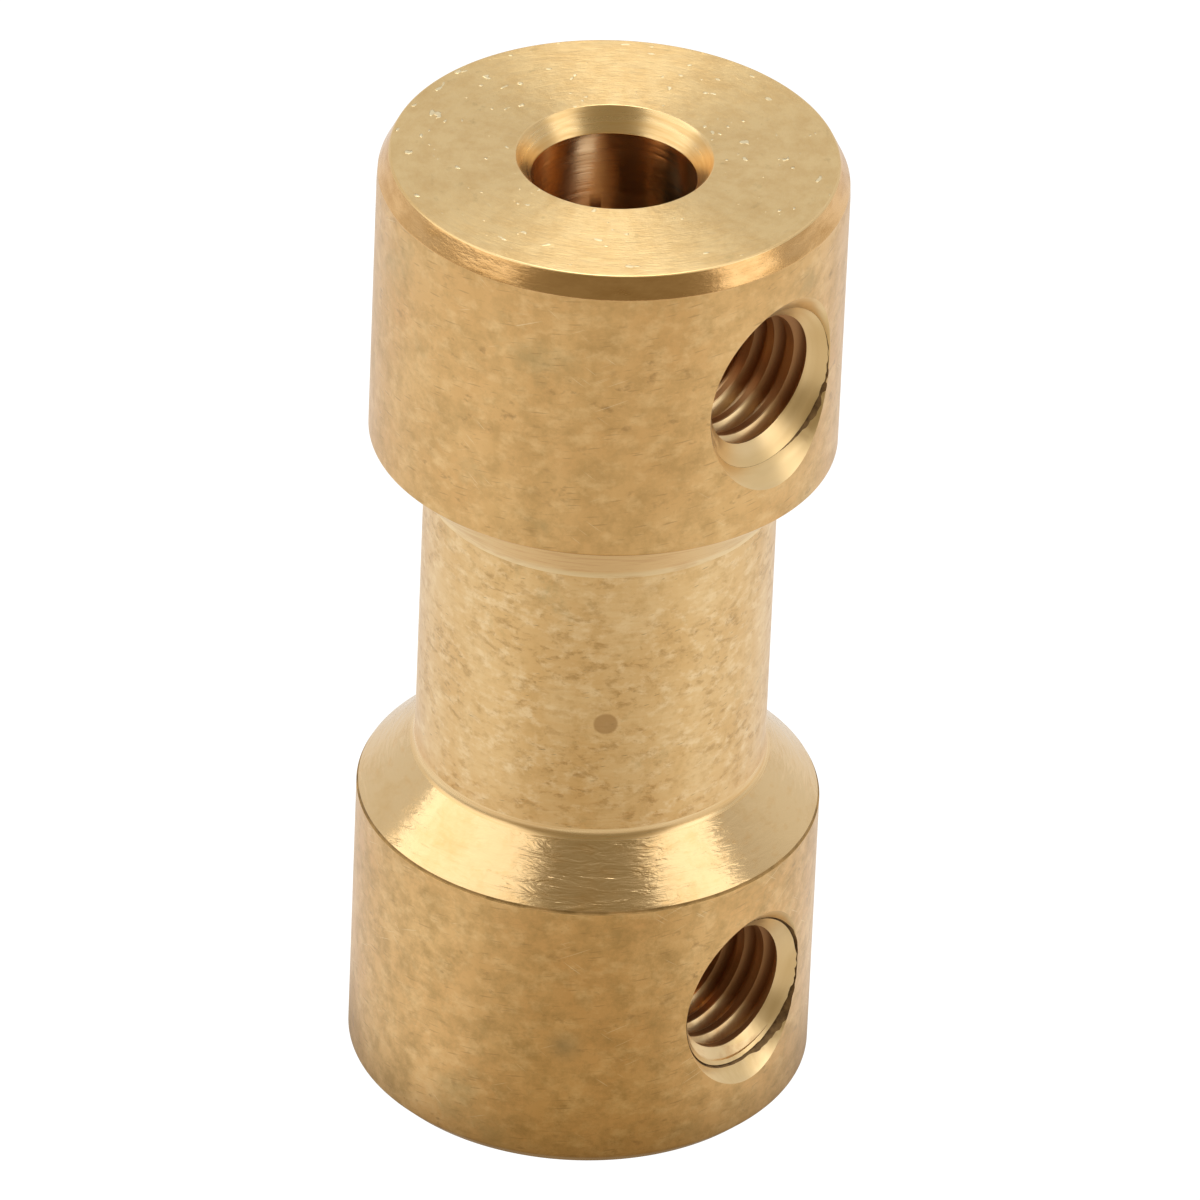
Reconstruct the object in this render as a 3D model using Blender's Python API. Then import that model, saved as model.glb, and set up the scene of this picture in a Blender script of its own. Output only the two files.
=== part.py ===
"""Rigid sleeve coupling for two small motor shafts, with its set screws.

A turned brass sleeve has a hub at each end and a slimmer neck between them. Each hub is drilled,
countersunk and tapped M3 straight across, through both of its walls. A cup-point set screw sits in
each hub's -X opening with its tip just clear of the bore. The +X openings are free.

The sleeve stands on its lower end face, centred on the origin. +Z runs up the shaft axis and the
tapped holes lie along X. Everything is in metres.
"""

import math

import bmesh
import bpy

MM = 0.001

# Sleeve
SLEEVE_RADIUS = 4.5 * MM
SLEEVE_LENGTH = 20.25 * MM
LOWER_HUB_LENGTH = 5.95 * MM
UPPER_HUB_LENGTH = 6.1 * MM
NECK_RADIUS = 3.4 * MM
NECK_FILLET = 0.3 * MM
TOP_CHAMFER_WIDTH = 0.22 * MM
TOP_CHAMFER_HEIGHT = 0.42 * MM
BOTTOM_CHAMFER = 0.25 * MM
BORE_RADIUS = 1.585 * MM
BORE_MOUTH_RADIUS = 1.885 * MM
BORE_MOUTH_DEPTH = 0.45 * MM

# Tapped cross holes, each cut as a plain hole of the thread's full diameter
THREAD_RADIUS = 1.5 * MM
LOWER_HOLE_HEIGHT = 3.12 * MM
UPPER_HOLE_FROM_TOP = 3.29 * MM
LOWER_COUNTERSINK_RADIUS = 1.89 * MM
UPPER_COUNTERSINK_RADIUS = 2.03 * MM
COUNTERSINK_SLOPE = 1.1
DRILL_OVERRUN = 1.0 * MM

# M3 x 3 set screw with a hexagon socket and a cup point
SCREW_LENGTH = 3.0 * MM
SCREW_CLEARANCE = 0.05 * MM
SCREW_END_CHAMFER = 0.3 * MM
SOCKET_ACROSS_FLATS = 1.5 * MM
SOCKET_DEPTH = 1.3 * MM
SOCKET_BOTTOM_CONE = 0.35 * MM
CUP_RIM_RADIUS = 0.7 * MM
CUP_DEPTH = 0.4 * MM
TIP_TO_BORE = 0.015 * MM

# Facets
SLEEVE_SEGMENTS = 72
DRILL_SEGMENTS = 48
SCREW_SEGMENTS = 48
FILLET_STEPS = 4

LOWER_HOLE_Z = LOWER_HOLE_HEIGHT
UPPER_HOLE_Z = SLEEVE_LENGTH - UPPER_HOLE_FROM_TOP
SCREW_TIP_FROM_AXIS = BORE_RADIUS + TIP_TO_BORE


def clear_scene():
    for obj in list(bpy.data.objects):
        bpy.data.objects.remove(obj, do_unlink=True)


def metal(name, colour, roughness):
    material = bpy.data.materials.new(name)
    material.use_nodes = True
    shader = material.node_tree.nodes["Principled BSDF"]
    shader.inputs["Base Color"].default_value = (*colour, 1.0)
    shader.inputs["Metallic"].default_value = 1.0
    shader.inputs["Roughness"].default_value = roughness
    return material


def round_section(radius):
    """Radius of a round section, the same at every angle."""
    return lambda angle: radius


def hexagon_section(across_flats):
    """Distance from the axis to a hexagon's side at an angle, with a corner at angle 0."""
    half_side_angle = math.radians(30)

    def radius_at(angle):
        from_flat = angle % (2 * half_side_angle) - half_side_angle
        return across_flats / 2 / math.cos(from_flat)

    return radius_at


def ring(mesh, section, height, segments):
    """One ring of vertices round Z, or a single vertex where the section closes on the axis."""
    if section(0.0) == 0.0:
        return [mesh.verts.new((0.0, 0.0, height))]
    angles = [2 * math.pi * step / segments for step in range(segments)]
    return [
        mesh.verts.new((section(a) * math.cos(a), section(a) * math.sin(a), height))
        for a in angles
    ]


def join_rings(mesh, first, second, segments):
    for step in range(segments):
        after = (step + 1) % segments
        if len(first) == 1:
            mesh.faces.new((first[0], second[step], second[after]))
        elif len(second) == 1:
            mesh.faces.new((first[step], first[after], second[0]))
        else:
            mesh.faces.new((first[step], first[after], second[after], second[step]))


def lathed_object(name, outline, segments, is_tube=False):
    """Object whose skin passes through sections about Z, given in order as (section, height).

    A solid piece starts and ends on the axis. A tube's outline closes on its first section.
    """
    mesh = bmesh.new()
    rings = [ring(mesh, section, height, segments) for section, height in outline]
    for first, second in zip(rings, rings[1:]):
        join_rings(mesh, first, second, segments)
    if is_tube:
        join_rings(mesh, rings[-1], rings[0], segments)
    bmesh.ops.recalc_face_normals(mesh, faces=mesh.faces)
    data = bpy.data.meshes.new(name)
    mesh.to_mesh(data)
    mesh.free()
    data.shade_smooth()
    data.set_sharp_from_angle(angle=math.radians(25))
    obj = bpy.data.objects.new(name, data)
    bpy.context.scene.collection.objects.link(obj)
    return obj


def neck_fillet(cone_foot, towards_cone):
    """Points round the concave corner where the neck meets a 45 degree cone.

    cone_foot is the height of the sharp corner, and towards_cone is +1 where the cone rises from
    it and -1 where the cone falls. The points run from the cone to the neck.
    """
    turn = math.radians(45)
    reach = NECK_FILLET * math.tan(turn / 2)
    centre_height = cone_foot - towards_cone * reach
    points = []
    for step in range(FILLET_STEPS + 1):
        angle = turn * (1 - step / FILLET_STEPS)
        radius = NECK_RADIUS + NECK_FILLET * (1 - math.cos(angle))
        height = centre_height + towards_cone * NECK_FILLET * math.sin(angle)
        points.append((radius, height))
    return points


def sleeve_outline():
    """Half section of the sleeve, anticlockwise: up the outside and down the bore."""
    cone_height = SLEEVE_RADIUS - NECK_RADIUS
    lower_cone_start = LOWER_HUB_LENGTH
    upper_cone_start = SLEEVE_LENGTH - UPPER_HUB_LENGTH
    lower_corner = neck_fillet(lower_cone_start + cone_height, -1)
    upper_corner = neck_fillet(upper_cone_start - cone_height, +1)
    points = [
        (BORE_MOUTH_RADIUS, 0.0),
        (SLEEVE_RADIUS - BOTTOM_CHAMFER, 0.0),
        (SLEEVE_RADIUS, BOTTOM_CHAMFER),
        (SLEEVE_RADIUS, lower_cone_start),
        *lower_corner,
        *reversed(upper_corner),
        (SLEEVE_RADIUS, upper_cone_start),
        (SLEEVE_RADIUS, SLEEVE_LENGTH - TOP_CHAMFER_HEIGHT),
        (SLEEVE_RADIUS - TOP_CHAMFER_WIDTH, SLEEVE_LENGTH),
        (BORE_MOUTH_RADIUS, SLEEVE_LENGTH),
        (BORE_RADIUS, SLEEVE_LENGTH - BORE_MOUTH_DEPTH),
        (BORE_RADIUS, BORE_MOUTH_DEPTH),
    ]
    return [(round_section(radius), height) for radius, height in points]


def cross_drill(name, hole_height, countersink_radius):
    """Cutter for one hub: a hole along X through both walls, countersunk from both sides."""
    countersink_depth = (countersink_radius - THREAD_RADIUS) / COUNTERSINK_SLOPE
    cone_start = SLEEVE_RADIUS - countersink_depth
    end = SLEEVE_RADIUS + DRILL_OVERRUN
    end_radius = countersink_radius + DRILL_OVERRUN * COUNTERSINK_SLOPE
    points = [
        (0.0, -end),
        (end_radius, -end),
        (THREAD_RADIUS, -cone_start),
        (THREAD_RADIUS, cone_start),
        (end_radius, end),
        (0.0, end),
    ]
    outline = [(round_section(radius), height) for radius, height in points]
    cutter = lathed_object(name, outline, DRILL_SEGMENTS)
    cutter.rotation_euler = (0.0, math.radians(90), 0.0)
    cutter.location = (0.0, 0.0, hole_height)
    cutter.hide_render = True
    cutter.display_type = "WIRE"
    return cutter


def cut(obj, cutter):
    modifier = obj.modifiers.new(cutter.name, "BOOLEAN")
    modifier.operation = "DIFFERENCE"
    modifier.solver = "EXACT"
    modifier.object = cutter


def coupling_body(brass):
    body = lathed_object("coupling_body", sleeve_outline(), SLEEVE_SEGMENTS, is_tube=True)
    body.data.materials.append(brass)
    cut(body, cross_drill("lower_cross_hole", LOWER_HOLE_Z, LOWER_COUNTERSINK_RADIUS))
    cut(body, cross_drill("upper_cross_hole", UPPER_HOLE_Z, UPPER_COUNTERSINK_RADIUS))
    return body


def set_screw_outline():
    """Sections from the bottom of the cup, round the outside and down into the socket."""
    radius = THREAD_RADIUS - SCREW_CLEARANCE
    point_height = radius - CUP_RIM_RADIUS
    socket = hexagon_section(SOCKET_ACROSS_FLATS)
    socket_floor = SCREW_LENGTH - SOCKET_DEPTH
    return [
        (round_section(0.0), CUP_DEPTH),
        (round_section(CUP_RIM_RADIUS), 0.0),
        (round_section(radius), point_height),
        (round_section(radius), SCREW_LENGTH - SCREW_END_CHAMFER),
        (round_section(radius - SCREW_END_CHAMFER), SCREW_LENGTH),
        (socket, SCREW_LENGTH),
        (socket, socket_floor),
        (round_section(0.0), socket_floor - SOCKET_BOTTOM_CONE),
    ]


def set_screw(name, hole_height, steel):
    """Set screw with its origin at the tip, on the hole's axis, and its socket facing -X."""
    screw = lathed_object(name, set_screw_outline(), SCREW_SEGMENTS)
    screw.data.materials.append(steel)
    screw.rotation_euler = (0.0, math.radians(-90), 0.0)
    screw.location = (-SCREW_TIP_FROM_AXIS, 0.0, hole_height)
    return screw


def main():
    clear_scene()
    brass = metal("turned_brass", colour=(0.78, 0.57, 0.28), roughness=0.32)
    steel = metal("black_oxide_steel", colour=(0.09, 0.09, 0.095), roughness=0.42)
    coupling_body(brass)
    set_screw("lower_set_screw", LOWER_HOLE_Z, steel)
    set_screw("upper_set_screw", UPPER_HOLE_Z, steel)


main()
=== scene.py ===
"""Looks of the rigid sleeve coupling: turned brass, real threads, set screws and a plain studio.

The brass body is turned from its outline as a fine mesh, then cut by countersinks and by helical
taps. Each turned surface of it has its own finish. Each set screw is threaded in step with its
hole. Everything is in metres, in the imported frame: +Z up the shaft axis, the cross holes along X.
"""

import math

import bmesh
import bpy
from mathutils import Matrix, Vector, noise


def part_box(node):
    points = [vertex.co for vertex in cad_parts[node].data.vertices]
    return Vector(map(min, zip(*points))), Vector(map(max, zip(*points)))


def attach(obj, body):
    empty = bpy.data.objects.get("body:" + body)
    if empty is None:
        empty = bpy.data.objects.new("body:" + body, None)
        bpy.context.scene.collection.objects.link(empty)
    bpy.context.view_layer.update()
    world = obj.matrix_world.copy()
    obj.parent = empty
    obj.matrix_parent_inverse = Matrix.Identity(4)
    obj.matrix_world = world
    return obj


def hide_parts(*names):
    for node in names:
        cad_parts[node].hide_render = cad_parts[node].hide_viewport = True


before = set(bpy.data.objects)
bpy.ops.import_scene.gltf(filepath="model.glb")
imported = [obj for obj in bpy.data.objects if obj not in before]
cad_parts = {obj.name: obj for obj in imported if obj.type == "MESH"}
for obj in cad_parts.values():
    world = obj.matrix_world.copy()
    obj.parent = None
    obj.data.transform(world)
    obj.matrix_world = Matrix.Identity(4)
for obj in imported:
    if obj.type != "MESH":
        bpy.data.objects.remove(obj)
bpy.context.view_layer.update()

MM = 0.001
MICRON = 0.000001

# Sleeve, as in the CAD body
SLEEVE_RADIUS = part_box("coupling_body")[1].x
SLEEVE_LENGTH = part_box("coupling_body")[1].z
LOWER_HUB_LENGTH = 5.95 * MM
UPPER_HUB_LENGTH = 6.1 * MM
NECK_RADIUS = 3.4 * MM
NECK_FILLET = 0.3 * MM
TOP_CHAMFER_WIDTH = 0.22 * MM
TOP_CHAMFER_HEIGHT = 0.42 * MM
BOTTOM_CHAMFER = 0.25 * MM
BORE_RADIUS = 1.585 * MM
BORE_MOUTH_RADIUS = 1.885 * MM
BORE_MOUTH_DEPTH = 0.45 * MM
CONE_HEIGHT = SLEEVE_RADIUS - NECK_RADIUS

# Fine steps of the sleeve's outline, too small for the CAD body
BAND_HEIGHT = 0.26 * MM
BAND_TAPER = 0.012 * MM
BURR = 0.032 * MM
DARK_EDGE = 0.07 * MM

# M3 x 0.5 threads
PITCH = 0.5 * MM
CREST_WIDTH = PITCH / 8
THREAD_START = 0.5 * PITCH
FLANK_SLOPE = math.tan(math.radians(30))
GROOVE_RADIUS = 1.5 * MM
TAPPED_CREST_RADIUS = 1.29 * MM
TAPPED_CREST_SHARE = 0.26
SCREW_CREST_RADIUS = 1.45 * MM
SCREW_ROOT_RADIUS = 1.185 * MM

# Countersinks of the cross holes, each with a torn groove that is widest low on its +Y side
COUNTERSINK_SLOPE = 1.1
COUNTERSINK_OVERRUN = 1.0 * MM
LOWER_COUNTERSINK_RADIUS = 1.89 * MM
UPPER_COUNTERSINK_RADIUS = 2.03 * MM
LOWER_GROOVE = {"inner_radius": 1.555 * MM, "least_width": 0.045 * MM, "fade": 3}
UPPER_GROOVE = {"inner_radius": 1.64 * MM, "least_width": 0.003 * MM, "fade": 8}
TORN_GROOVE_DEPTH = 0.12 * MM
TORN_GROOVE_SWELL = 0.085 * MM
TORN_GROOVE_HEADING = math.radians(-30)
TEAR_SIZE = 0.13 * MM
TEARS_PER_RADIAN = 9

# Set screws
SCREW_END_CHAMFER = 0.3 * MM
SOCKET_ACROSS_FLATS = 1.5 * MM
SOCKET_DEPTH = 1.3 * MM
SOCKET_BOTTOM_CONE = 0.35 * MM
SOCKET_MOUTH_CHAMFER = 0.06 * MM
CUP_RIM_RADIUS = 0.7 * MM
CUP_DEPTH = 0.4 * MM

# Mesh fineness. The offsets turn rings so that no cutter's corner meets a corner of the sleeve.
SLEEVE_SEGMENTS = 288
SLEEVE_OFFSET = 0.5
COUNTERSINK_SEGMENTS = 144
COUNTERSINK_OFFSET = 0.31
THREAD_SEGMENTS = 72
THREAD_STEPS = 16
ARC_STEPS = 5
EDGE_SPACING = 0.09 * MM
RING_SPACING = 0.6 * MM
WELD_DISTANCE = 0.1 * MICRON
CUTTER_SHARP_ANGLE = 30
BODY_SHARP_ANGLE = 35
SCREW_SHARP_ANGLE = 25

# Brass colours, as linear red, green and blue
BRIGHT_BRASS = (0.845, 0.60, 0.31)
YELLOW_BRASS = (0.84, 0.54, 0.225)
ORANGE_BRASS = (0.79, 0.47, 0.18)
BROWN_STAIN = (0.46, 0.27, 0.10)
OLIVE_PATINA = (0.50, 0.37, 0.16)
DARK_PIT = (0.16, 0.10, 0.045)
HUB_BAND = (0.70, 0.42, 0.15)
HUB_GRIME = (0.58, 0.36, 0.13)
HUB_PALE = (0.96, 0.67, 0.32)
HUB_SMUDGE = (0.42, 0.33, 0.18)
HUB_SCRATCH = (1.0, 0.80, 0.48)
CONE_STAIN = (0.72, 0.44, 0.16)
CONE_FLECK = (0.78, 0.46, 0.17)
# The underside colours are painted light, paler than the brass to brighten a face in shade
UNDERSIDE_PAINTED_LIGHT = (1.0, 0.78, 0.45)
UNDERSIDE_STREAK_PAINTED_LIGHT = (0.90, 0.65, 0.34)
GROOVE_OIL = (0.28, 0.17, 0.06)
GROOVE_METAL = (0.58, 0.37, 0.15)
TORN_OIL = (0.17, 0.10, 0.045)
TORN_METAL = (0.34, 0.21, 0.09)
NECK_RIDGE = (0.93, 0.67, 0.34)
NECK_FURROW = (0.88, 0.60, 0.28)
NECK_BAND = (0.80, 0.50, 0.19)
NECK_PATCH = (0.78, 0.48, 0.18)
NECK_BLOTCH = (0.66, 0.41, 0.15)
NECK_PALE = (1.0, 0.75, 0.42)
NECK_FLECK = (0.61, 0.38, 0.145)
NECK_SPOT = (0.50, 0.29, 0.11)
FILLET_PALE = (0.95, 0.70, 0.38)
FILLET_LINE = (0.85, 0.56, 0.25)
END_PALE = (0.88, 0.64, 0.31)
END_MOTTLE = (0.80, 0.55, 0.245)
END_SPECK = (0.56, 0.40, 0.18)
# Nicks of bare metal, painted bright partly as glints
END_NICK_GLINT = (1.0, 0.86, 0.56)
CHAMFER_PALE = (0.86, 0.54, 0.24)
CHAMFER_MOTTLE = (0.66, 0.38, 0.14)
BORE_PALE = (1.0, 0.70, 0.41)
BORE_RING = (0.90, 0.57, 0.29)
MOUTH_PALE = (0.90, 0.66, 0.34)
MOUTH_RING = (0.78, 0.52, 0.22)
# The threads' pale colour is a painted highlight; their dark colour is oily brown and painted shade
THREAD_PAINTED_HIGHLIGHT = (1.0, 0.76, 0.43)
THREAD_SMEAR = (0.80, 0.53, 0.26)
THREAD_OIL_AND_SHADE = (0.50, 0.26, 0.11)
CREST_PALE = (0.62, 0.34, 0.15)
CREST_OIL = (0.46, 0.24, 0.10)
COUNTERSINK_PALE = (0.98, 0.74, 0.41)
COUNTERSINK_SMEAR = (0.84, 0.60, 0.29)

# Black oxide colours
OXIDE_DARK = (0.075, 0.075, 0.08)
OXIDE_PALE = (0.12, 0.115, 0.11)
WORN_STEEL = (0.30, 0.28, 0.26)

# Marks, placed in degrees to the right of the camera
NECK_SPOT_HEADING = 4.9
NECK_SPOT_HEIGHT = 9.60 * MM
NECK_SPOT_SIZE = 0.50 * MM
SMUDGE_HEADING = -3
SMUDGE_HEIGHT = 2.85 * MM
SMUDGE_SIZE = 0.9 * MM

# Where the threads of the cross holes get a painted highlight, from straight down towards -Y
THREAD_HIGHLIGHT_HEADING = math.radians(30)

# Camera
VIEW_AZIMUTH = math.radians(41.5)
VIEW_ELEVATION = math.radians(33.03)
VIEW_ROLL = math.radians(2.464)
VIEW_DISTANCE = 316.5 * MM
VIEW_LENS = 492.5
SIDEWAYS_AIM = 0.08 * MM
AIM_HEIGHT = 10.22 * MM

# Studio
FLOOR_HALF_WIDTH = 1500 * MM
FLOOR_SEEN = (1.1, 1.1, 1.1)
# The floor glows for the metal: a painted light, a painted shadow and a painted contact shadow
FLOOR_LIGHT = (0.86, 0.85, 0.84)
FLOOR_SHADE = (0.47, 0.39, 0.26)
FLOOR_PAINTED_CONTACT_SHADOW = (0.16, 0.12, 0.07)
SHADE_HEADING = 4.0
SHADE_NEAR = 6 * MM
SHADE_FAR = 26 * MM
BACKDROP_SEEN = (1.0, 1.0, 1.0)
BACKDROP = (0.76, 0.76, 0.76)
FRONT_GAP = (0.27, 0.225, 0.145)
SOFT_BOX_DISTANCE = 250 * MM


# ---------------------------------------------------------------- nodes


def studio_direction(right_of_camera, elevation):
    """Unit vector from the object, by degrees to the right of the camera and above the floor."""
    turn = VIEW_AZIMUTH - math.pi / 2 + math.radians(right_of_camera)
    rise = math.radians(elevation)
    level = math.cos(rise)
    return Vector((math.cos(turn) * level, math.sin(turn) * level, math.sin(rise)))


class Nodes:
    """Short calls that add shader nodes to one tree and join them."""

    def __init__(self, tree):
        self.tree = tree

    def node(self, kind, inputs, **settings):
        node = self.tree.nodes.new(kind)
        for name, value in settings.items():
            setattr(node, name, value)
        for socket, value in inputs.items():
            self.feed(node.inputs[socket], value)
        return node

    def feed(self, socket, value):
        if isinstance(value, bpy.types.NodeSocket):
            self.tree.links.new(value, socket)
        else:
            socket.default_value = value

    def math(self, operation, first, second=0.0):
        return self.node("ShaderNodeMath", {0: first, 1: second}, operation=operation).outputs[0]

    def vector(self, operation, first, second=(0.0, 0.0, 0.0)):
        inputs = {0: first, 1: second}
        node = self.node("ShaderNodeVectorMath", inputs, operation=operation)
        gives_number = operation in ("DOT_PRODUCT", "DISTANCE", "LENGTH")
        return node.outputs["Value" if gives_number else "Vector"]

    def scaled(self, vector, factor):
        inputs = {0: vector, "Scale": factor}
        return self.node("ShaderNodeVectorMath", inputs, operation="SCALE").outputs["Vector"]

    def remap(self, value, low, high, to_low=0.0, to_high=1.0, interpolation="LINEAR"):
        inputs = {"Value": value, "From Min": low, "From Max": high}
        inputs.update({"To Min": to_low, "To Max": to_high})
        settings = {"interpolation_type": interpolation}
        return self.node("ShaderNodeMapRange", inputs, **settings).outputs["Result"]

    def noise(self, vector, scale, detail=2.0, roughness=0.5, distortion=0.0):
        inputs = {"Vector": vector, "Scale": scale, "Detail": detail}
        inputs.update({"Roughness": roughness, "Distortion": distortion})
        return self.node("ShaderNodeTexNoise", inputs).outputs["Fac"]

    def blend(self, share, first, second):
        """Colour between two, each a colour or a socket."""
        node = self.node("ShaderNodeMix", {}, data_type="RGBA")
        self.feed(node.inputs["Factor"], share)
        ends = [socket for socket in node.inputs if socket.type == "RGBA"]
        for socket, colour in zip(ends, (first, second)):
            is_socket = isinstance(colour, bpy.types.NodeSocket)
            self.feed(socket, colour if is_socket else (*colour, 1.0))
        return next(socket for socket in node.outputs if socket.type == "RGBA")


class Finish(Nodes):
    """One material under construction. Its textures are laid out in millimetres."""

    def __init__(self, name, metallic=1.0):
        self.material = bpy.data.materials.new(name)
        self.material.use_nodes = True
        super().__init__(self.material.node_tree)
        self.shader = self.tree.nodes["Principled BSDF"]
        self.set("Metallic", metallic)

    def set(self, socket, value):
        self.feed(self.shader.inputs[socket], value)

    def roughness(self, texture, low, high):
        """Roughness that follows a noise texture from low to high."""
        self.set("Roughness", self.remap(texture, 0.3, 0.7, low, high))

    def lacquer(self):
        """Soft clear sheen of an oily film over the metal."""
        self.set("Coat Weight", 0.25)
        self.set("Coat Roughness", 0.35)

    def bump(self, height, distance, normal=None):
        inputs = {"Height": height, "Distance": distance, "Strength": 1.0}
        if normal:
            inputs["Normal"] = normal
        return self.node("ShaderNodeBump", inputs).outputs["Normal"]

    def place(self):
        """Position on the piece."""
        return self.scaled(self.node("ShaderNodeTexCoord", {}).outputs["Object"], 1 / MM)

    def part_of_place(self, axis):
        return self.node("ShaderNodeSeparateXYZ", {0: self.place()}).outputs[axis]

    def upright(self):
        """Position whose features run ten times longer up the shaft axis."""
        return self.vector("MULTIPLY", self.place(), (1, 1, 0.1))

    def unrolled(self):
        """A turned surface laid flat: distance round the axis, then along it."""
        angle = self.math("ARCTAN2", self.part_of_place("Y"), self.part_of_place("X"))
        around = self.math("MULTIPLY", angle, SLEEVE_RADIUS / MM)
        flat = {"X": around, "Y": self.part_of_place("Z")}
        return self.node("ShaderNodeCombineXYZ", flat).outputs[0]

    def turned(self, stretch, along="Z", about="Z"):
        """Position whose features run stretch times longer round the turning axis.

        The third coordinate runs along the axis, or outwards from it for along="R".
        """
        across = {"Z": (1, 1, 0), "X": (0, 1, 1)}[about]
        place = self.place()
        flat = self.vector("MULTIPLY", place, across)
        around = self.vector("NORMALIZE", flat)
        ring = self.scaled(around, SLEEVE_RADIUS / MM / stretch)
        if along == "R":
            third = self.node("ShaderNodeCombineXYZ", {"Z": self.vector("LENGTH", flat)}).outputs[0]
        else:
            third = self.vector("MULTIPLY", place, tuple(1 - axis for axis in across))
        return self.vector("ADD", ring, third)

    def dashes(self, heading, length, width, low, high):
        """Straight thin marks scattered over the unrolled surface."""
        turn = (0.0, 0.0, math.radians(heading))
        inputs = {"Vector": self.unrolled(), "Rotation": turn, "Scale": (length, width, 1.0)}
        mapped = self.node("ShaderNodeMapping", inputs, vector_type="TEXTURE").outputs[0]
        return self.remap(self.noise(mapped, 1.0, detail=0.0), low, high)

    def spot(self, right_of_camera, radius, height, size, softness):
        """One round mark, by where it sits on the sleeve and how wide it is."""
        centre = studio_direction(right_of_camera, 0) * radius + Vector((0, 0, height))
        away = self.vector("DISTANCE", self.place(), centre / MM)
        edge = size / MM / 2
        return self.remap(away, edge - softness, edge, 1.0, 0.0)

    def above_hole_axis(self):
        """Height above the axis of whichever cross hole is nearer."""
        lower, upper = (middle_height(hub + "_set_screw") / MM for hub in ("lower", "upper"))
        height = self.part_of_place("Z")
        is_upper = self.math("GREATER_THAN", height, (lower + upper) / 2)
        axis = self.math("ADD", self.math("MULTIPLY", is_upper, upper - lower), lower)
        return self.math("SUBTRACT", height, axis)


def middle_height(node):
    low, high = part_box(node)
    return (low.z + high.z) / 2


# ---------------------------------------------------------------- materials


def tumbled_hub():
    """Satin outside of a hub: mottled by tumbling, with specks, patina and short scratches."""
    look = Finish("hub_brass")
    place = look.place()
    cloud = look.remap(look.noise(place, 0.5, detail=3.0), 0.35, 0.65)
    colour = look.blend(cloud, YELLOW_BRASS, ORANGE_BRASS)
    bands = look.remap(look.noise(look.upright(), 1.4, detail=3.0), 0.38, 0.62, 0.0, 0.4)
    colour = look.blend(bands, colour, HUB_BAND)
    height = look.part_of_place("Z")
    # Darker mottle at full strength up to the top of the lower hub, easing to 0.7 at mid height and above
    mottle_by_height = look.remap(height, LOWER_HUB_LENGTH / MM, SLEEVE_LENGTH / 2 / MM, 1.0, 0.7)
    mottle = look.noise(look.turned(1.1), 2.1, detail=7.0, roughness=0.72)
    colour = look.blend(look.remap(mottle, 0.43, 0.66, 0.0, mottle_by_height), colour, HUB_GRIME)
    pale = look.noise(look.turned(1.4), 3.0, detail=5.0, roughness=0.66)
    colour = look.blend(look.remap(pale, 0.50, 0.72, 0.0, 0.6), colour, HUB_PALE)
    speck = look.noise(look.turned(1.6), 5.0, detail=3.0, roughness=0.6)
    where = look.remap(look.noise(place, 0.8, detail=2.0), 0.45, 0.62, 0.15, 1.0)
    speck = look.math("MULTIPLY", look.remap(speck, 0.60, 0.74, 0.0, 0.9), where)
    colour = look.blend(speck, colour, BROWN_STAIN)
    patina = look.noise(place, 0.62, detail=5.0, roughness=0.6)
    colour = look.blend(look.remap(patina, 0.60, 0.74, 0.0, 0.45), colour, OLIVE_PATINA)
    smudge = look.spot(SMUDGE_HEADING, SLEEVE_RADIUS, SMUDGE_HEIGHT, SMUDGE_SIZE, softness=0.4)
    colour = look.blend(look.math("MULTIPLY", smudge, 0.45), colour, HUB_SMUDGE)
    streak = look.dashes(7, 0.45, 0.045, 0.72, 0.80)
    colour = look.blend(look.math("MULTIPLY", streak, 0.5), colour, BROWN_STAIN)
    falling = look.dashes(-38, 0.7, 0.03, 0.76, 0.80)
    rising = look.dashes(24, 1.1, 0.03, 0.77, 0.81)
    kept = look.remap(look.noise(place, 0.9, detail=0.0), 0.58, 0.64, 0.0, 0.45)
    scratch = look.math("MULTIPLY", look.math("MAXIMUM", falling, rising), kept)
    look.set("Base Color", look.blend(scratch, colour, HUB_SCRATCH))
    look.roughness(mottle, 0.28, 0.38)
    look.lacquer()
    dented = look.bump(mottle, 14 * MICRON)
    grain = look.noise(look.turned(1.5), 14.0, detail=2.0, roughness=0.5)
    look.set("Normal", look.bump(grain, 2 * MICRON, dented))
    return look.material


def cut_cone():
    """Bright form-turned cone with shallow chatter waves, flecks and fine turning lines."""
    look = Finish("cone_brass")
    stain = look.noise(look.turned(1.6), 1.3, detail=6.0, roughness=0.68)
    colour = look.blend(look.remap(stain, 0.5, 0.75, 0.0, 0.6), BRIGHT_BRASS, CONE_STAIN)
    fleck = look.noise(look.turned(4.0), 9.0, detail=3.0, roughness=0.6)
    look.set("Base Color", look.blend(look.remap(fleck, 0.55, 0.72, 0.0, 0.35), colour, CONE_FLECK))
    look.roughness(stain, 0.13, 0.23)
    lines = look.noise(look.turned(30.0), 22.0, detail=2.0)
    waves = look.noise(look.turned(6.5), 8.0, detail=3.0, roughness=0.6, distortion=0.9)
    look.set("Normal", look.bump(waves, 15 * MICRON, look.bump(lines, 0.6 * MICRON)))
    return look.material


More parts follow.
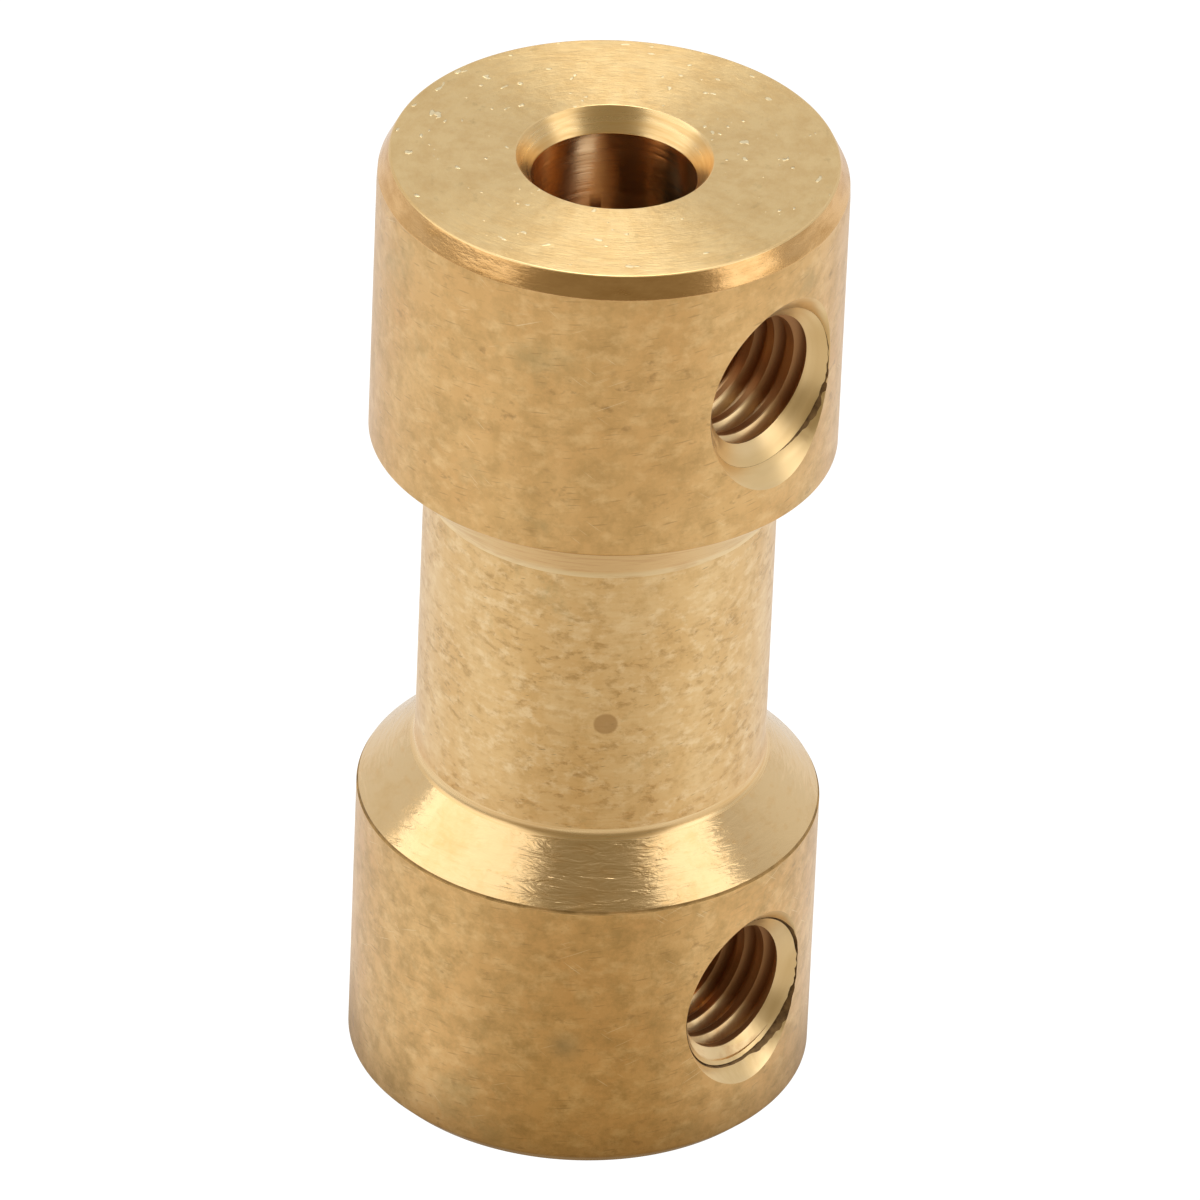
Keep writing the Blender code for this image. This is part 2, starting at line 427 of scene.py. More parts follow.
def underside_painted_light():
    """Underside cone of the upper hub, rougher, with a few broken turning streaks. Its colours are
    painted light: raised pale to brighten a face that looks down into shade.
    """
    look = Finish("underside_brass_painted_light", metallic=0.6)
    streak = look.noise(look.turned(9.0), 9.0, detail=3.0, roughness=0.6)
    share = look.remap(streak, 0.5, 0.64)
    look.set("Base Color", look.blend(share, UNDERSIDE_PAINTED_LIGHT, UNDERSIDE_STREAK_PAINTED_LIGHT))
    look.roughness(streak, 0.40, 0.50)
    look.set("Normal", look.bump(streak, 5 * MICRON))
    return look.material


def grimy_groove():
    """Fine groove where the cutting tool parted two surfaces, dark with old oil."""
    look = Finish("groove_brass")
    cloud = look.noise(look.place(), 2.0, detail=4.0, roughness=0.6)
    look.set("Base Color", look.blend(look.remap(cloud, 0.35, 0.65), GROOVE_OIL, GROOVE_METAL))
    look.roughness(cloud, 0.45, 0.65)
    return look.material


def torn_groove():
    """Deep torn groove round a countersink, full of dark oil."""
    look = Finish("torn_groove_brass", metallic=0.7)
    cloud = look.noise(look.place(), 6.0, detail=4.0, roughness=0.6)
    look.set("Base Color", look.blend(look.remap(cloud, 0.35, 0.65), TORN_OIL, TORN_METAL))
    look.roughness(cloud, 0.45, 0.65)
    return look.material


def turned_neck():
    """Neck with a coarse turned skin: torn brown flecks in patches, patina and a few stains."""
    look = Finish("neck_brass")
    place = look.place()
    lines = look.noise(look.turned(10.0), 12.0, detail=3.0, roughness=0.6)
    colour = look.blend(look.remap(lines, 0.3, 0.7), NECK_RIDGE, NECK_FURROW)
    bands = look.remap(look.noise(look.upright(), 1.2, detail=3.0), 0.40, 0.60, 0.0, 0.45)
    colour = look.blend(bands, colour, NECK_BAND)
    patch = look.remap(look.noise(place, 0.6, detail=5.0, roughness=0.62), 0.42, 0.60)
    colour = look.blend(look.math("MULTIPLY", patch, 0.5), colour, NECK_PATCH)
    blotch = look.noise(look.turned(1.4), 2.8, detail=5.0, roughness=0.68)
    colour = look.blend(look.remap(blotch, 0.50, 0.68, 0.0, 0.55), colour, NECK_BLOTCH)
    pale = look.noise(look.turned(2.0), 4.0, detail=4.0, roughness=0.65)
    colour = look.blend(look.remap(pale, 0.50, 0.68, 0.0, 0.8), colour, NECK_PALE)
    torn = look.noise(look.turned(2.4), 6.0, detail=5.0, roughness=0.66, distortion=0.3)
    where = look.remap(patch, 0.0, 1.0, 0.2, 1.0)
    fleck = look.math("MULTIPLY", look.remap(torn, 0.52, 0.66), where)
    colour = look.blend(fleck, colour, NECK_FLECK)
    patina = look.noise(place, 0.9, detail=6.0, roughness=0.7)
    colour = look.blend(look.remap(patina, 0.61, 0.74, 0.0, 0.5), colour, OLIVE_PATINA)
    spot = look.spot(NECK_SPOT_HEADING, NECK_RADIUS, NECK_SPOT_HEIGHT, NECK_SPOT_SIZE, softness=0.04)
    colour = look.blend(look.math("MULTIPLY", spot, 0.75), colour, NECK_SPOT)
    streak = look.dashes(6, 0.3, 0.035, 0.79, 0.84)
    look.set("Base Color", look.blend(look.math("MULTIPLY", streak, 0.45), colour, DARK_PIT))
    look.roughness(torn, 0.29, 0.39)
    look.lacquer()
    look.set("Normal", look.bump(look.math("SUBTRACT", lines, fleck), 6 * MICRON))
    return look.material


def smooth_fillet():
    """Smooth pale fillet where the form tool blended the neck into a cone."""
    look = Finish("fillet_brass")
    lines = look.noise(look.turned(40.0), 16.0, detail=2.0)
    look.set("Base Color", look.blend(look.remap(lines, 0.35, 0.65), FILLET_PALE, FILLET_LINE))
    look.roughness(lines, 0.24, 0.34)
    look.set("Normal", look.bump(lines, 2 * MICRON))
    return look.material


def faced_end():
    """End face: broken facing rings that stretch its highlights, with small nicks of bare metal whose
    bright colour is partly a painted glint.
    """
    look = Finish("end_face_brass")
    mottle = look.noise(look.turned(1.3, along="R"), 2.2, detail=6.0, roughness=0.66)
    colour = look.blend(look.remap(mottle, 0.40, 0.64), END_PALE, END_MOTTLE)
    speck = look.noise(look.turned(2.0, along="R"), 4.0, detail=3.0, roughness=0.6)
    colour = look.blend(look.remap(speck, 0.62, 0.75, 0.0, 0.45), colour, END_SPECK)
    # Nicks: bare metal, partly a painted glint
    nick_glint = look.noise(look.turned(2.0, along="R"), 5.5, detail=1.0)
    nick_glint = look.remap(nick_glint, 0.71, 0.745, 0.0, 0.8)
    look.set("Base Color", look.blend(nick_glint, colour, END_NICK_GLINT))
    streak = look.noise(look.turned(5.0, along="R"), 9.0, detail=4.0, roughness=0.65)
    look.roughness(streak, 0.34, 0.46)
    look.set("Anisotropic", 0.85)
    look.set("Anisotropic Rotation", 0.25)
    tangent = look.node("ShaderNodeTangent", {}, direction_type="RADIAL", axis="Z")
    look.set("Tangent", tangent.outputs[0])
    fine = look.noise(look.turned(25.0, along="R"), 18.0, detail=2.0)
    lined = look.bump(fine, 1.2 * MICRON)
    streaked = look.bump(streak, 20 * MICRON, lined)
    look.set("Normal", look.bump(nick_glint, 12 * MICRON, streaked))
    return look.material


def turned_chamfer():
    """Narrow turned chamfer, brighter than the hub, with lines round it and handling marks."""
    look = Finish("chamfer_brass")
    mottle = look.noise(look.turned(3.0), 3.5, detail=5.0, roughness=0.65)
    look.set("Base Color", look.blend(look.remap(mottle, 0.4, 0.7), CHAMFER_PALE, CHAMFER_MOTTLE))
    look.roughness(mottle, 0.16, 0.28)
    lines = look.noise(look.turned(40.0), 20.0, detail=2.0)
    look.set("Normal", look.bump(lines, 1.2 * MICRON, look.bump(mottle, 14 * MICRON)))
    return look.material


def reamed_bore():
    """Bore wall with tool rings close together."""
    look = Finish("bore_brass")
    rings = look.noise(look.turned(40.0), 9.0, detail=3.0)
    look.set("Base Color", look.blend(look.remap(rings, 0.3, 0.7), BORE_PALE, BORE_RING))
    look.roughness(rings, 0.16, 0.28)
    look.set("Normal", look.bump(rings, 5 * MICRON))
    return look.material


def bore_mouth():
    """Chamfered mouth of the bore, with neat rings left by the countersink."""
    look = Finish("bore_mouth_brass")
    rings = look.noise(look.turned(40.0), 11.0, detail=3.0, roughness=0.6)
    look.set("Base Color", look.blend(look.remap(rings, 0.35, 0.65), MOUTH_PALE, MOUTH_RING))
    look.roughness(rings, 0.24, 0.36)
    look.set("Normal", look.bump(rings, 4 * MICRON))
    return look.material


def thread_flank():
    """Flanks of the tapped threads: a painted highlight low on the -Y side of the hole, where they catch
    the light, and dark oily brown with painted shade elsewhere.
    """
    look = Finish("thread_flank_brass", metallic=0.85)
    smear = look.noise(look.turned(5.0, about="X"), 5.0, detail=4.0, roughness=0.6)
    # Painted highlight low on the -Y side of each hole, painted shade elsewhere
    low = look.math("MULTIPLY", look.above_hole_axis(), -math.cos(THREAD_HIGHLIGHT_HEADING))
    side = look.math("MULTIPLY", look.part_of_place("Y"), -math.sin(THREAD_HIGHLIGHT_HEADING))
    uneven = look.remap(smear, 0.0, 1.0, -0.4, 0.4)
    toward_highlight = look.math("ADD", look.math("ADD", low, side), uneven)
    highlight_share = look.remap(toward_highlight, 0.35, 0.75)
    colour = look.blend(look.remap(smear, 0.40, 0.62), THREAD_PAINTED_HIGHLIGHT, THREAD_SMEAR)
    look.set("Base Color", look.blend(highlight_share, THREAD_OIL_AND_SHADE, colour))
    look.set("Roughness", look.remap(highlight_share, 0.0, 1.0, 0.50, 0.32))
    look.set("Normal", look.bump(smear, 4 * MICRON))
    return look.material


def thread_crest():
    """Crests of the tapped threads, brown with old cutting oil."""
    look = Finish("thread_wall_brass", metallic=0.85)
    smear = look.noise(look.turned(4.0, about="X"), 5.0, detail=4.0, roughness=0.6)
    look.set("Base Color", look.blend(look.remap(smear, 0.3, 0.7), CREST_PALE, CREST_OIL))
    look.roughness(smear, 0.42, 0.52)
    look.set("Normal", look.bump(smear, 4 * MICRON))
    return look.material


def countersunk_cone():
    """Smooth countersink round a tapped hole, with rings and smears from the cutter."""
    look = Finish("countersink_brass")
    smear = look.noise(look.turned(2.0, about="X"), 1.6, detail=4.0, roughness=0.6)
    share = look.remap(smear, 0.4, 0.7)
    look.set("Base Color", look.blend(share, COUNTERSINK_PALE, COUNTERSINK_SMEAR))
    rings = look.noise(look.turned(14.0, about="X"), 8.0, detail=3.0)
    look.roughness(rings, 0.28, 0.40)
    look.set("Normal", look.bump(rings, 4 * MICRON))
    return look.material


def black_oxide_steel():
    """Blackened set screw steel: uneven oxide, with worn brighter metal along the lines."""
    look = Finish("black_oxide_steel")
    cloud = look.noise(look.place(), 2.5, detail=4.0, roughness=0.6)
    colour = look.blend(look.remap(cloud, 0.35, 0.65), OXIDE_DARK, OXIDE_PALE)
    grain = look.noise(look.turned(4.0, about="X"), 12.0, detail=3.0, roughness=0.6)
    worn = look.remap(grain, 0.62, 0.78, 0.0, 0.5)
    look.set("Base Color", look.blend(worn, colour, WORN_STEEL))
    look.roughness(cloud, 0.32, 0.48)
    look.set("Normal", look.bump(grain, 2 * MICRON))
    return look.material


# The brass body's surfaces, in the order of its material slots
REGIONS = {
    "end_face": faced_end,
    "chamfer": turned_chamfer,
    "hub_side": tumbled_hub,
    "cone": cut_cone,
    "underside": underside_painted_light,
    "groove": grimy_groove,
    "torn_groove": torn_groove,
    "neck": turned_neck,
    "fillet": smooth_fillet,
    "mouth": bore_mouth,
    "bore": reamed_bore,
    "thread_flank": thread_flank,
    "thread_crest": thread_crest,
    "countersink": countersunk_cone,
}


def slot_of(region):
    return list(REGIONS).index(region)


# ---------------------------------------------------------------- meshes


def shown(name, mesh, materials, sharp_angle):
    """Object made from a finished mesh."""
    bmesh.ops.recalc_face_normals(mesh, faces=mesh.faces)
    data = bpy.data.meshes.new(name)
    mesh.to_mesh(data)
    mesh.free()
    for material in materials:
        data.materials.append(material)
    smooth_between_sharp_edges(data, sharp_angle)
    obj = bpy.data.objects.new(name, data)
    bpy.context.scene.collection.objects.link(obj)
    return obj


def smooth_between_sharp_edges(data, sharp_angle):
    data.shade_smooth()
    data.set_sharp_from_angle(angle=math.radians(sharp_angle))


def even_angles(count, offset=0.0):
    return [2 * math.pi * (step + offset) / count for step in range(count)]


def point_round_x(mesh, axis_height, x, radius, angle):
    """Vertex round the axis of a cross hole. Angle 0 is towards +Y and a quarter turn is up."""
    return mesh.verts.new((x, radius * math.cos(angle), axis_height + radius * math.sin(angle)))


def joined_rings(mesh, first, second, material=0):
    """Faces between two closed rings of vertices; a ring of one vertex closes the skin."""
    count = max(len(first), len(second))
    for step in range(count):
        after = (step + 1) % count
        if len(first) == 1:
            corners = (first[0], second[step], second[after])
        elif len(second) == 1:
            corners = (first[step], first[after], second[0])
        else:
            corners = (first[step], first[after], second[after], second[step])
        mesh.faces.new(corners).material_index = material


def sleeve_corners():
    """Corners of the sleeve's half section, anticlockwise.

    Each is radius, height, rounding radius, what the rounding is and what follows it. No corner
    lies in line with the two beside it, because it couldn't be rounded.
    """
    cone_foot = LOWER_HUB_LENGTH + CONE_HEIGHT
    upper_hub = SLEEVE_LENGTH - UPPER_HUB_LENGTH
    chamfer = SLEEVE_LENGTH - TOP_CHAMFER_HEIGHT
    parting_in = SLEEVE_RADIUS - 0.9 * BURR
    cone_rim = SLEEVE_RADIUS - 1.1 * BURR
    return [
        (BORE_MOUTH_RADIUS, 0.0, 0.04 * MM, "mouth", "end_face"),
        (SLEEVE_RADIUS - BOTTOM_CHAMFER, 0.0, 0.06 * MM, "chamfer", "chamfer"),
        (SLEEVE_RADIUS, BOTTOM_CHAMFER, 0.12 * MM, "hub_side", "hub_side"),
        (SLEEVE_RADIUS, LOWER_HUB_LENGTH - 0.9 * BURR, 0.2 * BURR, "hub_side", "groove"),
        (parting_in, LOWER_HUB_LENGTH - 0.3 * BURR, 0.1 * BURR, "groove", "groove"),
        (cone_rim, LOWER_HUB_LENGTH + 1.1 * BURR, 0.1 * BURR, "cone", "cone"),
        (NECK_RADIUS, cone_foot, NECK_FILLET, "fillet", "neck"),
        (NECK_RADIUS, upper_hub - CONE_HEIGHT, NECK_FILLET, "underside", "underside"),
        (SLEEVE_RADIUS - DARK_EDGE, upper_hub - 0.7 * DARK_EDGE, 0.1 * BURR, "groove", "groove"),
        (SLEEVE_RADIUS, upper_hub, 0.04 * MM, "hub_side", "hub_side"),
        (SLEEVE_RADIUS, chamfer - BAND_HEIGHT, 0.02 * MM, "hub_side", "hub_side"),
        (SLEEVE_RADIUS - BAND_TAPER, chamfer, 0.06 * MM, "chamfer", "chamfer"),
        (SLEEVE_RADIUS - TOP_CHAMFER_WIDTH, SLEEVE_LENGTH, 0.05 * MM, "mouth", "end_face"),
        (BORE_MOUTH_RADIUS, SLEEVE_LENGTH, 0.03 * MM, "mouth", "mouth"),
        (BORE_RADIUS, SLEEVE_LENGTH - BORE_MOUTH_DEPTH, 0.03 * MM, "mouth", "bore"),
        (BORE_RADIUS, BORE_MOUTH_DEPTH, 0.03 * MM, "mouth", "mouth"),
    ]


def arc(before, corner, after, radius):
    """Points of the arc that rounds the corner between two straight stretches."""
    into = (before - corner).normalized()
    out = (after - corner).normalized()
    half_angle = into.angle(out) / 2
    setback = radius / math.tan(half_angle)
    start = corner + into * setback
    end = corner + out * setback
    centre = corner + (into + out).normalized() * (radius / math.sin(half_angle))
    points = []
    for step in range(ARC_STEPS + 1):
        towards = start.lerp(end, step / ARC_STEPS) - centre
        points.append(centre + towards.normalized() * radius)
    return points


def stops_along(length):
    """Shares of a straight stretch where rings go: close to both of its ends and spread between."""
    if length < 3 * EDGE_SPACING:
        return []
    edge = EDGE_SPACING / length
    pieces = max(1, round(length / RING_SPACING))
    return [edge + (1 - 2 * edge) * step / pieces for step in range(pieces + 1)]


def rounded_outline(corners):
    """Dense closed outline as (point, name of the stretch that follows it)."""
    points = [Vector(corner[:2]) for corner in corners]
    arcs = []
    for index, (_, _, rounding, _, _) in enumerate(corners):
        before = points[index - 1]
        after = points[(index + 1) % len(points)]
        arcs.append(arc(before, points[index], after, rounding))
    outline = []
    for curve, next_curve, corner in zip(arcs, arcs[1:] + arcs[:1], corners):
        rounded, region = corner[3:]
        outline += [(point, rounded) for point in curve[:-1]]
        outline.append((curve[-1], region))
        stops = stops_along((next_curve[0] - curve[-1]).length)
        outline += [(curve[-1].lerp(next_curve[0], stop), region) for stop in stops]
    return outline


def turned_sleeve(materials):
    """The sleeve before its holes are cut."""
    mesh = bmesh.new()
    outline = rounded_outline(sleeve_corners())
    angles = even_angles(SLEEVE_SEGMENTS, SLEEVE_OFFSET)
    rings = []
    for (radius, height), _ in outline:
        ring = [(radius * math.cos(angle), radius * math.sin(angle), height) for angle in angles]
        rings.append([mesh.verts.new(place) for place in ring])
    for ring, following, (_, region) in zip(rings, rings[1:] + rings[:1], outline):
        joined_rings(mesh, ring, following, slot_of(region))
    return shown("brass_coupling_body", mesh, materials, CUTTER_SHARP_ANGLE)


def thread_radius(phase, crest, root):
    """Radius of a thread at a share of one pitch, with its crest centred on phase 0."""
    from_crest = abs((phase + 0.5) % 1.0 - 0.5) * PITCH
    down_flank = max(0.0, from_crest - CREST_WIDTH / 2) / FLANK_SLOPE
    return max(root, crest - down_flank)


def threaded_skin(mesh, turns, vertex_at, material_at):
    """Skin of a thread, in rows across one pitch that climb along the helix.

    vertex_at places the point at a turn of the helix and a share of the pitch. material_at gives
    the material slot at a share of the pitch.
    """
    rows = []
    for step in range((turns + 1) * THREAD_SEGMENTS + 1):
        turn = step / THREAD_SEGMENTS
        rows.append([vertex_at(turn, index / THREAD_STEPS) for index in range(THREAD_STEPS)])
    for step in range(turns * THREAD_SEGMENTS):
        here = rows[step] + rows[step + THREAD_SEGMENTS][:1]
        after = rows[step + 1] + rows[step + 1 + THREAD_SEGMENTS][:1]
        for index in range(THREAD_STEPS):
            face = mesh.faces.new((here[index], after[index], after[index + 1], here[index + 1]))
            face.material_index = material_at((index + 0.5) / THREAD_STEPS)
    unused = [vert for vert in mesh.verts if not vert.link_faces]
    bmesh.ops.delete(mesh, geom=unused, context="VERTS")


def tap_cutter(name, hole_height, materials):
    """Solid of the thread space of one cross hole, through both walls, along X."""
    mesh = bmesh.new()
    reach = SLEEVE_RADIUS + 2 * PITCH
    turns = round(2 * reach / PITCH)
    start = -turns / 2 * PITCH + THREAD_START

    def vertex_at(turn, phase):
        x = start + PITCH * (turn + phase)
        radius = thread_radius(phase, GROOVE_RADIUS, TAPPED_CREST_RADIUS)
        return point_round_x(mesh, hole_height, x, radius, 2 * math.pi * turn)

    def material_at(phase):
        is_crest = abs(phase - 0.5) < TAPPED_CREST_SHARE / 2
        return slot_of("thread_crest" if is_crest else "thread_flank")

    threaded_skin(mesh, turns, vertex_at, material_at)
    for end in (-1, 1):
        rim = [edge for edge in mesh.edges if edge.is_boundary and edge.verts[0].co.x * end > 0]
        hub = mesh.verts.new((end * reach, 0.0, hole_height))
        for edge in rim:
            mesh.faces.new((*edge.verts, hub))
    return shown(name, mesh, materials, CUTTER_SHARP_ANGLE)


def torn_groove_edges(angle, inner_radius, least_width, fade):
    """Inner and outer radius of the torn groove round a countersink, at an angle."""
    swell = max(0.0, math.cos(angle - TORN_GROOVE_HEADING)) ** fade
    around = Vector((math.cos(angle), math.sin(angle), 0.0)) * TEARS_PER_RADIAN
    inner_tear, outer_tear = (
        TEAR_SIZE * swell * noise.noise(around + Vector((0, 0, seed))) for seed in (0.5, 7.5)
    )
    width = least_width + swell * TORN_GROOVE_SWELL
    inner = inner_radius + 0.5 * max(0.0, inner_tear)
    return inner, max(inner + 0.3 * width, inner_radius + width + outer_tear)


def countersink_cutter(name, hole_height, mouth_radius, groove, materials):
    """Double cone that opens both ends of a cross hole, with a torn groove near its mouths."""
    mesh = bmesh.new()
    angles = even_angles(COUNTERSINK_SEGMENTS, COUNTERSINK_OFFSET)
    end = SLEEVE_RADIUS + COUNTERSINK_OVERRUN
    end_radius = mouth_radius + COUNTERSINK_OVERRUN * COUNTERSINK_SLOPE
    core = 0.6 * TAPPED_CREST_RADIUS

    def cone_x(radius):
        return SLEEVE_RADIUS - (mouth_radius - radius) / COUNTERSINK_SLOPE

    def round_ring(x, radius):
        return [(x, radius, angle) for angle in angles]

    def groove_ring(share):
        """Ring where the cutter is a share of the way across the groove, deepest at half."""
        points = []
        for angle in angles:
            inner, outer = torn_groove_edges(angle, **groove)
            radius = inner + share * (outer - inner)
            depth = min(TORN_GROOVE_DEPTH, outer - inner) * (1 - abs(2 * share - 1))
            points.append((cone_x(radius) - depth, radius, angle))
        return points

    sections = [
        (round_ring(cone_x(core), core), "countersink"),
        (groove_ring(0.0), "torn_groove"),
        (groove_ring(0.5), "torn_groove"),
        (groove_ring(1.0), "countersink"),
        (round_ring(end, end_radius), "countersink"),
    ]
    cores = []
    for side in (-1, 1):
        rings = [
            [point_round_x(mesh, hole_height, side * x, radius, angle) for x, radius, angle in points]
            for points, _ in sections
        ]
        rings.append([point_round_x(mesh, hole_height, side * end, 0.0, 0.0)])
        for first, second, (_, region) in zip(rings, rings[1:], sections):
            joined_rings(mesh, first, second, slot_of(region))
        cores.append(rings[0])
    joined_rings(mesh, *cores, slot_of("countersink"))
    return shown(name, mesh, materials, CUTTER_SHARP_ANGLE)


def cut(obj, cutters):
    """Cuts the cutters out in turn, makes the cuts permanent and removes the cutters."""
    for cutter in cutters:
        modifier = obj.modifiers.new(cutter.name, "BOOLEAN")
        modifier.operation = "DIFFERENCE"
        modifier.solver = "EXACT"
        modifier.object = cutter
    depsgraph = bpy.context.evaluated_depsgraph_get()
    result = bpy.data.meshes.new_from_object(obj.evaluated_get(depsgraph))
    obj.modifiers.clear()
    obj.data = result
    for cutter in cutters:
        bpy.data.objects.remove(cutter)
    smooth_between_sharp_edges(obj.data, BODY_SHARP_ANGLE)


def brass_body():
    materials = [make() for make in REGIONS.values()]
    body = turned_sleeve(materials)
    upper = middle_height("upper_set_screw")
    lower = middle_height("lower_set_screw")
    cut(body, [
        countersink_cutter("upper_countersink", upper, UPPER_COUNTERSINK_RADIUS, UPPER_GROOVE, materials),
        countersink_cutter("lower_countersink", lower, LOWER_COUNTERSINK_RADIUS, LOWER_GROOVE, materials),
        tap_cutter("upper_tap", upper, materials),
        tap_cutter("lower_tap", lower, materials),
    ])
    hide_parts("coupling_body")
    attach(body, "sleeve")
    return body


def hexagon_radius(angle, across_flats):
    """Distance from the axis to a hexagon's side, with a corner at angle 0."""
    half = math.radians(30)
    return across_flats / 2 / math.cos(angle % (2 * half) - half)


def screw_thread(mesh, vertex, outer, tip):
    """Threaded side of a set screw, thinned by the cones at its two ends."""
    turns = math.ceil((tip - outer) / PITCH) + 3
    start = (math.floor(outer / PITCH) - 2) * PITCH + THREAD_START

    def vertex_at(turn, phase):
        x = min(max(start + PITCH * (turn + phase), outer), tip)
        thread = thread_radius((x - start) / PITCH - turn, SCREW_CREST_RADIUS, SCREW_ROOT_RADIUS)
        socket_cone = SCREW_CREST_RADIUS - SCREW_END_CHAMFER + (x - outer)
        tip_cone = CUP_RIM_RADIUS + (tip - x)
        return vertex(x, min(thread, socket_cone, tip_cone), 2 * math.pi * turn)

    threaded_skin(mesh, turns, vertex_at, lambda phase: 0)


def screw_socket(mesh, vertex, outer):
    """Flat outer end of a set screw, with its hexagon socket and the drilled bottom of it."""
    angles = even_angles(THREAD_SEGMENTS)
    floor = outer + SOCKET_DEPTH
    hexagons = [
        (outer, SOCKET_ACROSS_FLATS + 2 * SOCKET_MOUTH_CHAMFER),
        (outer + SOCKET_MOUTH_CHAMFER, SOCKET_ACROSS_FLATS),
        (floor, SOCKET_ACROSS_FLATS),
    ]
    rings = [[vertex(outer, SCREW_CREST_RADIUS - SCREW_END_CHAMFER, angle) for angle in angles]]
    for x, across_flats in hexagons:
        rings.append([vertex(x, hexagon_radius(angle, across_flats), angle) for angle in angles])
    rings.append([vertex(floor + SOCKET_BOTTOM_CONE, 0.0, 0.0)])
    for first, second in zip(rings, rings[1:]):
        joined_rings(mesh, first, second)


def screw_cup(mesh, vertex, tip):
    """Cup point of a set screw."""
    rim = [vertex(tip, CUP_RIM_RADIUS, angle) for angle in even_angles(THREAD_SEGMENTS)]
    joined_rings(mesh, rim, [vertex(tip - CUP_DEPTH, 0.0, 0.0)])


def set_screw(node, body_name, steel):
    """Cup-point set screw along X, threaded in step with its hole, socket facing -X."""
    low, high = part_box(node)
    axis_height = middle_height(node)
    mesh = bmesh.new()

    def vertex(x, radius, angle):
        return point_round_x(mesh, axis_height, x, radius, angle)

    screw_thread(mesh, vertex, low.x, high.x)
    screw_socket(mesh, vertex, low.x)
    screw_cup(mesh, vertex, high.x)
    bmesh.ops.remove_doubles(mesh, verts=mesh.verts, dist=WELD_DISTANCE)
    bmesh.ops.dissolve_degenerate(mesh, edges=mesh.edges, dist=WELD_DISTANCE / 10)
    name = node.replace("set_screw", "threaded_set_screw")
    screw = shown(name, mesh, [steel], SCREW_SHARP_ANGLE)
    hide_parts(node)
    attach(screw, body_name)
    return screw


# ---------------------------------------------------------------- studio


def soft_box(name, right_of_camera, elevation, width, height, radiance):
    """Soft box facing the object. Its width and height are the degrees that it fills."""
    light = bpy.data.lights.new(name, "AREA")
    light.shape = "RECTANGLE"
    light.size = 2 * SOFT_BOX_DISTANCE * math.tan(math.radians(width / 2))
    light.size_y = 2 * SOFT_BOX_DISTANCE * math.tan(math.radians(height / 2))
    light.energy = radiance * math.pi * light.size * light.size_y
    direction = studio_direction(right_of_camera, elevation)
    box = bpy.data.objects.new(name, light)
    box.location = Vector((0, 0, SLEEVE_LENGTH / 2)) + direction * SOFT_BOX_DISTANCE
    box.rotation_euler = direction.to_track_quat("Z", "Y").to_euler()
    box.visible_camera = False
    bpy.context.scene.collection.objects.link(box)
    return box


def studio_world():
    """White for the camera. For the metal, a pale backdrop that darkens towards the camera side."""
    world = bpy.data.worlds.new("studio")
    bpy.context.scene.world = world
    world.use_nodes = True
    sky = Nodes(world.node_tree)
    place = sky.node("ShaderNodeTexCoord", {}).outputs["Generated"]
    facing = sky.vector("DOT_PRODUCT", place, studio_direction(180, 10))
    share = sky.remap(facing, -0.6, 0.75, interpolation="SMOOTHSTEP")
    seen_by_metal = sky.blend(share, FRONT_GAP, BACKDROP)
    rays = sky.node("ShaderNodeLightPath", {})
    colour = sky.blend(rays.outputs["Is Camera Ray"], seen_by_metal, BACKDROP_SEEN)
    sky.feed(sky.tree.nodes["Background"].inputs["Color"], colour)


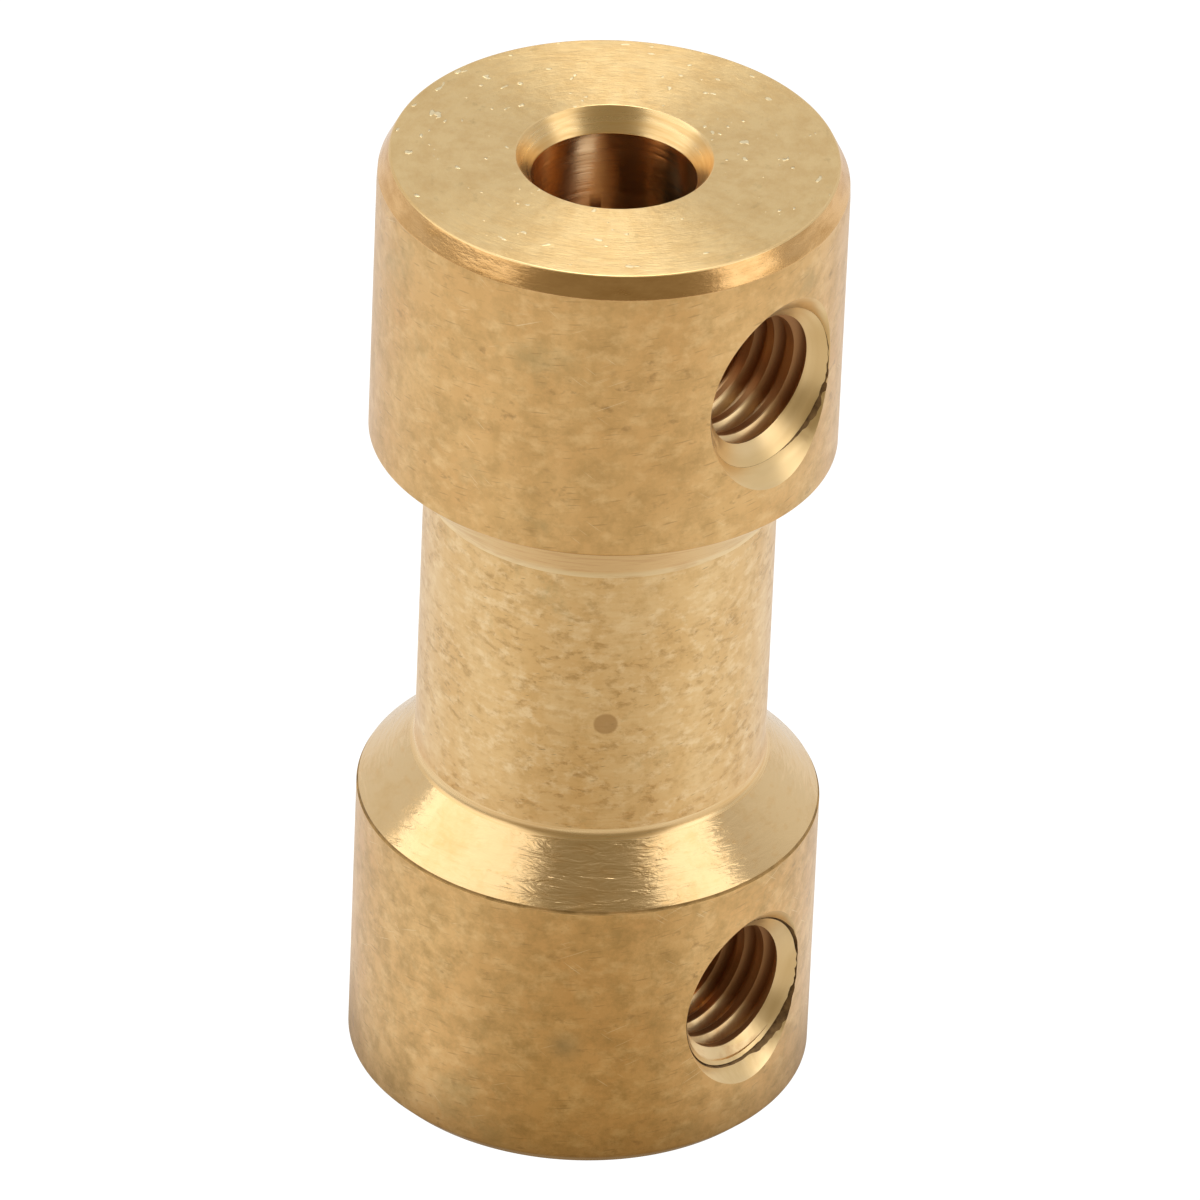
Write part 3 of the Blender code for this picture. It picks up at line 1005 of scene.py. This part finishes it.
def floor_white():
    """White studio sweep that glows. The camera sees it plain white; the metal sees a painted glow on it,
    with a painted shadow towards the camera side and a painted contact shadow under the sleeve.
    """
    look = Finish("floor_white", metallic=0.0)
    place = look.node("ShaderNodeTexCoord", {}).outputs["Object"]
    reach = look.vector("LENGTH", place)
    heading = look.vector("NORMALIZE", place)
    front = look.vector("DOT_PRODUCT", heading, studio_direction(SHADE_HEADING, 0))
    front = look.remap(front, 0.55, 0.96)
    near = look.remap(reach, SHADE_NEAR, SHADE_FAR, 1.0, 0.4)
    painted_glow = look.blend(look.math("MULTIPLY", front, near), FLOOR_LIGHT, FLOOR_SHADE)
    # Painted contact shadow under the sleeve
    under = look.remap(reach, SLEEVE_RADIUS, 1.4 * SLEEVE_RADIUS, 0.65, 0.0)
    painted_glow = look.blend(under, painted_glow, FLOOR_PAINTED_CONTACT_SHADOW)
    rays = look.node("ShaderNodeLightPath", {})
    painted_glow = look.blend(rays.outputs["Is Camera Ray"], painted_glow, FLOOR_SEEN)
    emission = look.node("ShaderNodeEmission", {"Color": painted_glow, "Strength": 1.0})
    look.feed(look.tree.nodes["Material Output"].inputs["Surface"], emission.outputs[0])
    return look.material


def studio_floor():
    half = FLOOR_HALF_WIDTH
    mesh = bmesh.new()
    corners = [(-half, -half), (half, -half), (half, half), (-half, half)]
    mesh.faces.new([mesh.verts.new((x, y, 0.0)) for x, y in corners])
    floor = shown("floor", mesh, [floor_white()], CUTTER_SHARP_ANGLE)


def photo_camera():
    tilt = Matrix.Rotation(math.pi / 2 - VIEW_ELEVATION, 3, "X")
    facing = Matrix.Rotation(VIEW_AZIMUTH, 3, "Z") @ tilt @ Matrix.Rotation(VIEW_ROLL, 3, "Z")
    data = bpy.data.cameras.new("camera")
    data.lens = VIEW_LENS
    camera = bpy.data.objects.new("camera", data)
    camera.rotation_euler = facing.to_euler()
    sideways = Vector((math.cos(VIEW_AZIMUTH), math.sin(VIEW_AZIMUTH), 0)) * SIDEWAYS_AIM
    aim = Vector((0, 0, AIM_HEIGHT)) + sideways
    camera.location = aim + facing.col[2] * VIEW_DISTANCE
    bpy.context.scene.collection.objects.link(camera)
    bpy.context.scene.camera = camera


def main():
    photo_camera()
    studio_world()
    studio_floor()
    soft_box("left_soft_box", -75, 38, width=60, height=46, radiance=1.0)
    soft_box("right_soft_box", 68, 33, width=30, height=54, radiance=1.1)
    soft_box("top_soft_box", 180, 84, width=34, height=34, radiance=3.0)
    bpy.context.scene.view_settings.view_transform = "Standard"
    brass_body()
    steel = black_oxide_steel()
    set_screw("lower_set_screw", "lower_screw", steel)
    set_screw("upper_set_screw", "upper_screw", steel)


main()
